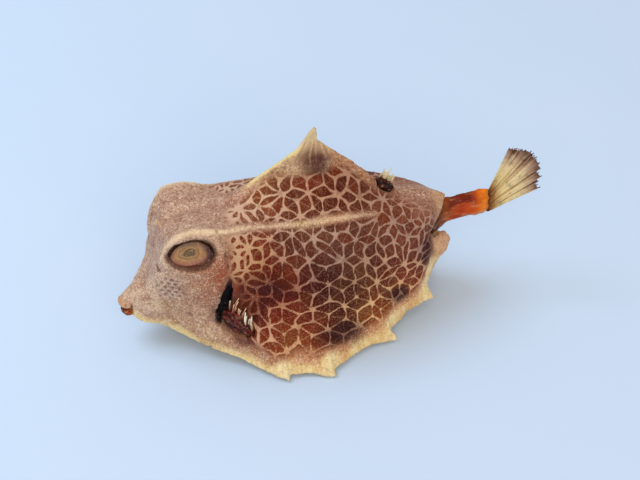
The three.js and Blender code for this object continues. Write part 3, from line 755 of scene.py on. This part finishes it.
def skin_colour(at, pale, spine, gill, head):
    """The colour of the skin where no plates show."""
    fan, stripe, dark = spine.fan, spine.stripe, spine.dark
    from_horn = np.linalg.norm(np.abs(at.co) - HORN_TIP, axis=1)
    skin = painted(at.x, at.w, SKIN_PLACES, 2)
    skin += (cream_colour(at, pale) - skin) * pale.cream[:, None]
    return layered(
        skin,
        ((232, 208, 170), 0.85 * smooth(3.2, 0.8, from_horn)),
        ((70, 28, 30), 0.95 * dark),
        (CREAM, fan * smooth(0.3, 0.9, stripe) * (0.8 - 0.55 * dark)),
        ((120, 72, 56), fan * smooth(-0.2, -0.9, stripe) * 0.4 * smooth(4, 7, spine.from_tip)),
        ((92, 24, 8), 0.85 * gill.behind),
        ((150, 66, 28), 0.85 * gill.ahead),
        # painted shade in the pectoral fin's hollow and along the slit's edge; the slit's near black is
        # painted shade inside the opening
        ((84, 34, 26), 0.8 * gill.shade),
        ((96, 66, 60), 0.55 * gill.slit_edge_shade),
        ((16, 10, 12), gill.gill),
        ((92, 94, 104), 0.4 * gill.gill * smooth(0.4, 0.9, lumps(at.co, 0.95, 34))),
        # painted shade in the nostril and the pit
        ((84, 36, 26), 0.95 * np.maximum(head.hole, head.pit)),
        ((208, 182, 162), 0.6 * head.patch),
        ((112, 84, 80), 0.95 * head.dots),
        ((222, 190, 150), 0.6 * head.ring),
        ((212, 190, 150), at.belly),
    )


def make_shell():
    """The shell: the fields over it first, then its relief, then what its material reads."""
    shell = shell_mesh()
    co, normals = points(shell)
    at = shell_places(co, normals)
    spoke, seam, star, knot, tone = shell_plates(at)
    shown = plate_cover(at)
    half_width = 0.215 + 0.2 * smooth(38, 30, at.x) + 0.08 * smooth(0, -6, at.w) + 0.07 * lumps(co, 6, 17)
    half_width += 0.16 * smooth(1.5, 0.3, star) + 0.16 * smooth(1.2, 0.2, knot)
    net = spoke - half_width
    pale, spine, gill, head = pale_marks(at), dark_marks(at), gill_marks(at), head_marks(at)
    cell, lines = plate_colours(at, tone, shown, spine.dark)

    # relief: raised spokes, sunk cells, a rim round the eye, grooves in the pale edge
    height = 0.17 * smooth(0.22, -0.18, net) * shown + 0.07 * smooth(1.5, 0.2, star) * shown - 0.07 * shown
    height += 0.55 * smooth(0.42, 0.12, np.abs(at.eye - 1.22)) * (at.eye < 2)
    height += 0.10 * lumps(co, 5, 8) + 0.05 * lumps(co, 2.2, 9)
    height -= 0.55 * head.hole + 0.5 * head.pit + 0.12 * head.dots + 0.9 * gill.gill
    height += 0.12 * head.ring + 0.1 * spine.fan * spine.stripe
    height += 0.16 * pale.striated * np.sin(at.x * 4.2 + 2 * at.wobble) * smooth(1, 3, at.margin)
    moved = co + normals * height[:, None]
    moved[:, 2] = np.maximum(moved[:, 2], 0)
    set_points(shell, moved)

    still = (1 - 0.7 * pale.cream) * (1 - gill.gill) * (1 - 0.7 * gill.shade) * (1 - 0.6 * head.dots)
    still *= (1 - 0.85 * gill.behind) * (1 - 0.4 * gill.ahead)
    still *= (1 - 0.7 * spine.fan) * (1 - 0.6 * spine.dark)
    # the socket value marks painted shade: the shell darkened inside the eye's socket
    keep(shell, net=net, seam=seam, shown=shown, striated=pale.striated, still=still, cell=cell, line=lines,
         skin=skin_colour(at, pale, spine, gill, head), socket=smooth(1.12, 1.0, at.eye))
    place(shell, shell_material(), "carapace")


def shell_material():
    """Plates over skin: "still" is where the skin's mottling is strong, "striated" the grooved pale edge."""
    g = Graph("dried_skin")
    shown, still, striated = g.value("shown"), g.value("still"), g.value("striated")
    ragged = g.math("MULTIPLY_ADD", g.noise(0.9, 3), 0.34, -0.17)
    line = g.times(g.ramp(g.math("ADD", g.value("net"), ragged), 0.13, -0.13), shown)
    dots = g.ramp(g.grains(0.5), 0.5, 0.22)
    seam = g.ramp(g.value("seam"), 0.26, 0.06)
    speck = g.noise(0.28, 2, 0.6)
    cell = g.mix(g.times(dots, 0.26), g.colour("cell"), g.colour("line"))
    cell = g.mix(g.times(seam, 0.3), cell, g.colour("line"))
    cell = g.mix(g.ramp(speck, 0.45, 0.3, 0, 0.5), cell, rgba(38, 12, 6))
    lines = g.mix(g.ramp(speck, 0.55, 0.72, 0, 0.5), g.colour("line"), rgba(236, 214, 186))
    lines = g.mix(g.ramp(g.noise(2.4, 3), 0.5, 0.34, 0, 0.3), lines, g.colour("cell"))
    plated = g.mix(line, cell, lines)

    tiles = g.grains(0.85, "DISTANCE_TO_EDGE")
    mottle = g.noise(3.2, 4, 0.6)
    patchy = g.noise(0.75, 3, 0.7)
    streaks = g.noise(0.7, 3, 0.6, g.stretched(1, 0.2, 0.2))
    skin = g.colour("skin")
    for field, none, full, most, where, tint in (
        (mottle, 0.5, 0.66, 0.4, still, (226, 200, 176)), (mottle, 0.48, 0.34, 0.5, still, (132, 78, 56)),
        (patchy, 0.5, 0.36, 0.62, still, (120, 72, 54)), (patchy, 0.54, 0.68, 0.56, still, (240, 214, 194)),
        (tiles, 0.16, 0.02, 0.4, still, (110, 66, 48)), (speck, 0.5, 0.7, 0.5, still, (238, 216, 194)),
        (streaks, 0.5, 0.34, 0.28, striated, (204, 160, 100)),
        (streaks, 0.52, 0.66, 0.3, striated, (246, 238, 204)),
        (patchy, 0.5, 0.3, 0.45, striated, (196, 134, 76)),
        (speck, 0.52, 0.7, 0.5, striated, (250, 240, 190)),
    ):
        skin = g.mix(g.times(g.ramp(field, none, full, 0, most), where), skin, rgba(*tint))
    colour = g.mix(shown, skin, plated)
    # painted shade: the shell darkens inside the eye's socket
    colour = g.mix(g.times(g.value("socket"), 0.8), colour, rgba(70, 30, 22))

    normal = g.bump(g.noise(0.4, 3, 0.6), 0.06)
    normal = g.bump(g.times(dots, shown), 0.05, normal)
    normal = g.bump(g.times(g.ramp(tiles, 0.0, 0.3), still), 0.07, normal)
    normal = g.bump(g.times(streaks, striated), 0.08, normal)
    rough = g.ramp(g.noise(1.6, 3), 0.3, 0.7, 0.4, 0.62)
    return g.surface(colour, rough, normal, Specular_IOR_Level=0.1)


def painted_material(name, size, depth, rough, fibre=(1, 1, 1), mottling=0.5, **constants):
    """A surface whose colours are kept at its vertices, broken up by streaks and a fine grain."""
    g = Graph(name)
    where = g.stretched(*fibre)
    streak = g.noise(size, 4, 0.6, where)
    grain = g.noise(size * 0.35, 3, 0.6, where)
    colour = g.mix(g.ramp(streak, 0.5, 0.3, 0, mottling), g.colour("paint"), rgba(44, 18, 8))
    colour = g.mix(g.ramp(streak, 0.52, 0.75, 0, mottling * 0.7), colour, rgba(250, 226, 180))
    normal = g.bump(streak, depth)
    normal = g.bump(grain, depth * 0.4, normal)
    return g.surface(colour, g.ramp(grain, 0.3, 0.7, rough - 0.08, rough + 0.12), normal,
                     Specular_IOR_Level=0.15, **constants)


def ends_of(node):
    """The two ends of a slim CAD piece, in fish coordinates."""
    co, _ = points(node)
    middle = co.mean(0)
    way = np.linalg.svd(co - middle, full_matrices=False)[2][0]
    along = (co - middle) @ way
    return middle + way * along.min(), middle + way * along.max()


def blend(t, stops):
    """Colours along t from (t, colour) stops."""
    at = [stop[0] for stop in stops]
    colours = np.array([srgb(*stop[1]) for stop in stops])
    return np.stack([np.interp(t, at, colours[:, k]) for k in range(3)], 1)


EYE_RINGS = [  # from the middle of the dimple outward
    (0.0, (126, 100, 68)), (0.10, (94, 74, 48)), (0.16, (146, 118, 80)), (0.22, (88, 66, 42)),
    (0.27, (172, 138, 92)), (0.36, (196, 148, 92)), (0.44, (156, 110, 66)), (0.5, (204, 158, 104)),
    (0.66, (190, 138, 90)), (0.8, (168, 114, 84)), (0.9, (138, 68, 52)), (1.1, (64, 18, 14)),
]
TAIL_PALE = [  # from the root of a tail thread to its tip
    (0, (110, 60, 24)), (0.1, (170, 118, 60)), (0.26, (228, 206, 146)), (0.6, (238, 220, 172)),
    (0.8, (200, 174, 144)), (0.93, (140, 106, 90)), (1, (96, 66, 56)),
]
TAIL_DUSK = [
    (0, (96, 50, 18)), (0.12, (150, 100, 48)), (0.3, (212, 186, 126)), (0.6, (216, 190, 150)),
    (0.75, (164, 130, 108)), (0.88, (104, 68, 60)), (1, (56, 30, 26)),
]
TAIL_WEB = [
    (0, (120, 68, 28)), (0.14, (170, 124, 64)), (0.32, (226, 202, 142)), (0.62, (228, 208, 160)),
    (0.8, (176, 144, 120)), (0.95, (116, 84, 74)),
]
STALK = [  # from inside the shell to the tail fan
    (0, (64, 26, 8)), (0.26, (84, 36, 10)), (0.36, (122, 62, 20)), (0.44, (168, 84, 24)),
    (0.6, (178, 58, 6)), (0.8, (200, 80, 8)), (0.92, (232, 128, 20)), (1, (176, 92, 20)),
]


def make_eye(name, node, side):
    """A dried eye: a dimpled, ringed film with a dark rim of painted shade in the groove round it, a little
    taller than its node and tilted.
    """
    eye = merged_copy(name, node)
    remesh(eye, 0.17)
    relax(eye, 6)
    co, _ = points(eye)
    co[:, 1] += 0.15 * side
    co[:, 2] = EYE_CENTRE[1] + 1.1 * (co[:, 2] - NODE_EYE_Z) + EYE_TILT * (co[:, 0] - EYE_CENTRE[0])
    set_points(eye, co)
    co, normals = points(eye)
    along = co[:, 0] - 19.45
    u = along / 5.95
    v = (co[:, 2] - EYE_CENTRE[1] - 2 * EYE_TILT * along) / 4.5
    radius = np.hypot(u, v)
    turn = np.arctan2(v, u)
    rings = np.hypot(u + 0.06, v - 0.05) + 0.03 * np.sin(3 * turn + 1) + 0.015 * np.sin(7 * turn)
    colour = layered(
        0.72 * blend(rings, EYE_RINGS),
        # painted shade: the upper half darker and greyer, the rear corner darker, and the rim near black in
        # its groove, darkest along its top
        ((104, 82, 66), 0.75 * smooth(0.1, 0.8, v) * smooth(0.3, 0.6, rings)),
        ((168, 112, 98), 0.7 * smooth(-0.45, -0.8, v)),
        ((70, 38, 24), 0.9 * smooth(0.5, 0.78, u + 0.3 * v)),
        ((38, 12, 10), smooth(0.8, 0.9, radius) * (0.65 + 0.35 * smooth(-0.2, 0.2, v))),
    )
    wrinkle = np.sin(rings * 46) * smooth(0.05, 0.2, rings) * smooth(0.85, 0.7, radius)
    height = 0.05 * wrinkle + 0.12 * lumps(co, 2.6, 51) * smooth(1, 0.8, radius)
    height += 0.22 * smooth(0.16, 0.04, rings) - 0.3 * smooth(0.78, 0.9, radius) * smooth(1.0, 0.93, radius)
    set_points(eye, co + normals * height[:, None])
    keep(eye, paint=colour)
    place(eye, eye_look, node.name)


def make_lip(name, node, path, flat, stops, lift, droop):
    """A lip filled out along its path; it swells by lift, and its front droops."""
    lip = merged_copy(name, node)
    add_parts(lip, [tube(*path, 16, flat)])
    remesh(lip, 0.22)
    relax(lip, 14)
    co, normals = points(lip)
    t = smooth(0.2, 4.6, co[:, 0])
    keep(lip, paint=blend(t, stops))
    height = 0.1 * lumps(co, 1.6, 61) + 0.06 * lumps(co, 0.7, 62) + lift
    out = co + normals * height[:, None]
    out[:, 2] -= droop * smooth(4.5, 1.5, co[:, 0])
    set_points(lip, out)
    place(lip, lip_look, node.name)


def make_lump(name, node, colours, wrinkles, swell, seed, extra=()):
    """A shrivelled fleshy piece: folds run along it, and its colour darkens in them as painted shade."""
    lump = merged_copy(name, node)
    if extra:
        add_parts(lump, extra)
    remesh(lump, 0.2)
    relax(lump, 8)
    co, normals = points(lump)
    a, b = ends_of(node)
    way = unit(b - a)
    along = (co - a) @ way
    round_it = co - a - along[:, None] * way
    folds = np.sin(round_it @ np.array((2.1, 2.6, 3.4)) * 1.3 + 1.6 * lumps(co, 4, seed))
    folds = 0.6 * folds + 0.5 * lumps(co, 1.5, seed + 1)
    keep(lump, paint=blend(smooth(-1.1, 1.1, folds), list(zip((0, 0.5, 1), colours))))
    set_points(lump, co + normals * (wrinkles * folds + swell)[:, None])
    place(lump, flesh_look, node.name)


def bristles(name, node, count, lengths, radius, spread, stops, sink, seed, up=1, sweep=0.0,
             shift=(0, 0, 0)):
    """A broken fin ray: stiff threads from one root, each of its own length and lean.

    The root is sunk into the flesh, up is -1 where the ray points down, and sweep turns it to the tail.
    """
    rng = np.random.default_rng(seed)
    root, tip = ends_of(node)
    if up * (tip[2] - root[2]) < 0:
        root, tip = tip, root
    way = unit(tip - root)
    reach = np.linalg.norm(tip - root)
    t = np.linspace(0, 1, 7)
    parts, shade = [], []
    for _ in range(count):
        lean = rng.normal(0, spread, 3)
        end_way = unit(way + lean + (sweep, 0, 0))
        length = reach * rng.uniform(*lengths) + sink
        start = root + shift - way * sink + rng.normal(0, radius * 1.2, 3)
        path = start + np.outer(t * length, way) + np.outer(t ** 2 * length, end_way - way)
        widths = radius * rng.uniform(0.75, 1.2) * (1.1 - 0.55 * t ** 2)
        parts.append(tube(path, widths, 7, 0.7))
        shade.append(blend(np.repeat(t, 7), stops) * rng.uniform(0.75, 1.12))
    ray = build(name, parts)
    keep(ray, paint=np.clip(np.concatenate(shade), 0, 1))
    place(ray, ray_look, node.name)


def make_caudal_ray(number, node):
    """A tail ray: threads side by side that fan out and split, with the dried web between them."""
    rng = np.random.default_rng(700 + number)
    root, tip = sorted(ends_of(node), key=lambda spot: spot[0])
    hub = np.array((105.6, 0, 24.3 + 0.52 * (number - 1)))
    reach = np.linalg.norm(tip - root) * (1 + 0.13 * math.exp(-((number - 4.6) / 2.2) ** 2))
    way = unit(unit(tip - root) + (0, 0, 0.1 * smooth(4.5, 1, number)))
    side = unit(np.array((-way[2], 0, way[0])))
    parts, colours = [], []
    dark_tip = 0.25 + 0.75 * smooth(1.5, 5, number) * smooth(10.5, 8, number)
    for k in range(5):
        u = (k - 2) / 2
        end = rng.uniform(0.94, 1.0)
        t = np.linspace(0, end, 12)
        half = 0.18 + 0.92 * t ** 1.1
        sway = rng.normal(0, 0.22)
        path = root + np.outer(t * reach, way) + np.outer(half * u + sway * t ** 3, side)
        path[:, 1] += rng.normal(0, 0.12) + (0.22 * ((number % 3) - 1) + rng.normal(0, 0.3)) * t ** 2
        path = np.vstack([hub, path])
        width = np.append(0.34, 0.3 + 0.05 * t - 0.2 * (t / end) ** 6)
        parts.append(tube(path, width, 7, 0.62))
        stops = TAIL_DUSK if rng.random() < 0.5 * dark_tip else TAIL_PALE
        mixed = blend(np.append(0, t / end * 0.98), stops)
        mixed *= rng.uniform(0.8, 1.1)
        colours.append(np.repeat(mixed, 7, axis=0))
    t = np.linspace(0, rng.uniform(0.91, 0.97), 12)
    path = root + np.outer(t * reach, way)
    parts.append(tube(path, 0.3 + 1.1 * t ** 1.1, 8, 0.16))
    colours.append(np.repeat(blend(t, TAIL_WEB), 8, axis=0))
    ray = build(f"tail_ray_{number}", parts)
    keep(ray, paint=np.concatenate(colours))
    place(ray, tail_ray_look, node.name)


def make_stalk(node):
    """The wrinkled stalk, dark inside the shell and orange outside; t is 0 at its root and 1 at the fan."""
    stalk = merged_copy("tail_stalk_skin", node)
    remesh(stalk, 0.3)
    relax(stalk, 8)
    co, normals = points(stalk)
    x = co[:, 0]
    spine_z = np.interp(x, (84, 90, 94, 100, 107), (24, 25, 25.6, 26.6, 27.6))
    rise = co[:, 2] - spine_z
    t = (x - 84) / 23
    patch = lumps(co * (0.45, 1, 1), 3.5, 71)
    free = smooth(0.4, 0.5, t)
    top = smooth(0.8, 3.2, rise + 0.9 * patch) * smooth(0.36, 0.5, t) * smooth(0.86, 0.72, t)
    colour = layered(
        blend(t, STALK),
        ((96, 20, 6), 0.85 * top),
        ((120, 32, 4), 0.6 * smooth(0.1, 0.8, patch) * free * smooth(0.9, 0.7, t)),
        ((206, 140, 70), 0.7 * smooth(-2.0, -3.4, rise) * free),
    )
    folds = np.sin((rise * 2.1 + 0.5 * co[:, 1]) + 1.4 * patch)
    height = 0.14 * folds * smooth(0.3, 0.5, t) + 0.1 * lumps(co, 1.8, 72)
    height -= 0.42 * smooth(0.34, 0.5, t) * smooth(0.92, 0.68, t)
    set_points(stalk, co + normals * height[:, None])
    keep(stalk, paint=colour)
    place(stalk, stalk_look, "tail_stalk")


# ---- make the fish ----
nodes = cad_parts
eye_look = painted_material("eye_film", 0.9, 0.03, 0.2, mottling=0.25, Coat_Weight=0.35, Coat_Roughness=0.12)
lip_look = painted_material("lip_skin", 0.8, 0.08, 0.5)
flesh_look = painted_material("dried_flesh", 0.9, 0.1, 0.42, mottling=0.35)
ray_look = painted_material("fin_ray", 0.5, 0.05, 0.42, mottling=0.3)
tail_ray_look = painted_material("tail_ray", 0.5, 0.05, 0.45, (0.35, 1, 0.35), mottling=0.4)
stalk_look = painted_material("tail_stalk_skin", 1.4, 0.12, 0.36, (0.4, 1, 1), mottling=0.35)


def make_head():
    make_eye("left_eye_ball", nodes["eye_left"], -1)
    make_eye("right_eye_ball", nodes["eye_right"], 1)
    make_lip("upper_lip_skin", nodes["upper_lip"], UPPER_LIP, 1.5,
             [(0, (196, 150, 112)), (0.5, (188, 152, 126)), (1, (188, 156, 134))], -0.12, 0.7)
    make_lip("lower_lip_skin", nodes["lower_lip"], LOWER_LIP, 1.7,
             [(0, (84, 20, 16)), (0.4, (138, 56, 30)), (0.8, (170, 96, 48)), (1, (206, 168, 118))], -0.3, 0.1)


def make_pectoral(side, flank, seed):
    """A folded stump with seven broken rays: four dark ones in front, three pale ones behind."""
    path, radii = PECTORAL_ROOT
    root = tube(np.array(path) * (1, flank, 1), radii, 12)
    make_lump(f"{side}_pectoral_stump", nodes[f"pectoral_lobe_{side}"],
              ((34, 3, 5), (76, 13, 11), (116, 40, 28)), 0.17, 0.35, 81, [root])
    front = ((2.1, 0.2, 0.2), [(0, (96, 34, 18)), (0.3, (104, 40, 24)), (0.6, (170, 112, 78)),
                               (1, (250, 214, 178))])
    rear = ((1.9, 0.24, 0.08), [(0, (96, 34, 18)), (0.3, (206, 168, 126)), (0.6, (246, 232, 204)),
                                (1, (252, 244, 226))])
    for k in range(1, 8):
        (longest, radius, sweep), stops = rear if k >= 5 else front
        bristles(f"{side}_pectoral_ray_{k}", nodes[f"pectoral_ray_{side}_{k}"], 3, (1.1, longest), radius,
                 0.07, stops, 0.6, seed + k, sweep=sweep, shift=(0.8, 0, 0.7))


def make_median_fins():
    """The stumps of the dorsal and the anal fin, each with six broken rays."""
    make_lump("dorsal_fin_stump", nodes["dorsal_fin_base"], ((8, 1, 1), (36, 6, 5), (74, 22, 15)),
              0.22, 0.5, 91)
    make_lump("anal_fin_stump", nodes["anal_fin_base"], ((30, 8, 6), (84, 32, 18), (140, 84, 56)),
              0.2, 0.1, 95)
    for k in range(1, 7):
        bristles(f"dorsal_fin_ray_{k}", nodes[f"dorsal_ray_{k}"], 3, (0.55, 1.15), 0.2, 0.2,
                 [(0, (120, 84, 56)), (0.4, (226, 208, 164)), (1, (240, 228, 196))], 0.7, 900 + k)
        bristles(f"anal_fin_ray_{k}", nodes[f"anal_ray_{k}"], 2, (0.6, 0.95), 0.17, 0.12,
                 [(0, (120, 84, 56)), (0.4, (216, 196, 152)), (1, (236, 222, 190))], 0.6, 920 + k, up=-1)


make_shell()
make_head()
make_pectoral("left", -1, 800)
make_pectoral("right", 1, 820)
make_median_fins()
make_stalk(nodes["tail_stalk"])
for k in range(1, 11):
    make_caudal_ray(k, nodes[f"caudal_ray_{k}"])

# ---- floor, light and camera ----
SUBJECT = Vector((-0.00335, 0, 0.0231))
LOOK_BACK = Vector((-0.1983, -0.7399, 0.6428)).normalized()
CAMERA_DISTANCE = 0.45
WARM_FILL = (1.0, 0.83, 0.67)
COOL_WINDOW = (0.68, 0.85, 1.0)
WARM_ROOM = (1.0, 0.89, 0.78, 1)


def make_stage():
    paper = Graph("pale_paper")
    tint = paper.mix(paper.noise(90, 2), rgba(198, 222, 252), rgba(204, 226, 254))
    floor_material = paper.surface(tint, 0.9, paper.bump(paper.noise(0.5, 2), 0.01))
    mesh = bpy.data.meshes.new("floor")
    half = 3.0
    corners = [(-half, -half, 0), (half, -half, 0), (half, half, 0), (-half, half, 0)]
    mesh.from_pydata(corners, [], [(0, 1, 2, 3)])
    floor = in_scene("floor", mesh)
    wear(floor, floor_material)


def make_light(name, direction, distance, size, energy, colour):
    lamp = bpy.data.lights.new(name, "AREA")
    lamp.shape = "DISK"
    lamp.size = size
    lamp.energy = energy
    lamp.color = colour
    obj = in_scene(name, lamp)
    way = Vector(direction).normalized()
    obj.location = SUBJECT + way * distance
    obj.rotation_mode = "QUATERNION"
    obj.rotation_quaternion = way.to_track_quat("Z", "Y")


make_stage()
make_light("window", (-0.55, 0.25, 0.9), 0.9, 0.6, 3.9, COOL_WINDOW)
make_light("fill", (-0.15, -1.0, 0.55), 1.1, 0.9, 4.8, WARM_FILL)

world = bpy.data.worlds.new("studio")
world.use_nodes = True
background = world.node_tree.nodes["Background"]
background.inputs["Color"].default_value = WARM_ROOM
background.inputs["Strength"].default_value = 0.64
bpy.context.scene.world = world
bpy.context.scene.view_settings.view_transform = "Standard"

camera = in_scene("camera", bpy.data.cameras.new("camera"))
camera.data.lens = 91.125
camera.data.sensor_width = 36
camera.data.clip_start = 0.01
camera.data.clip_end = 20
camera.location = SUBJECT + LOOK_BACK * CAMERA_DISTANCE
camera.rotation_mode = "QUATERNION"
camera.rotation_quaternion = LOOK_BACK.to_track_quat("Z", "Y")
bpy.context.scene.camera = camera
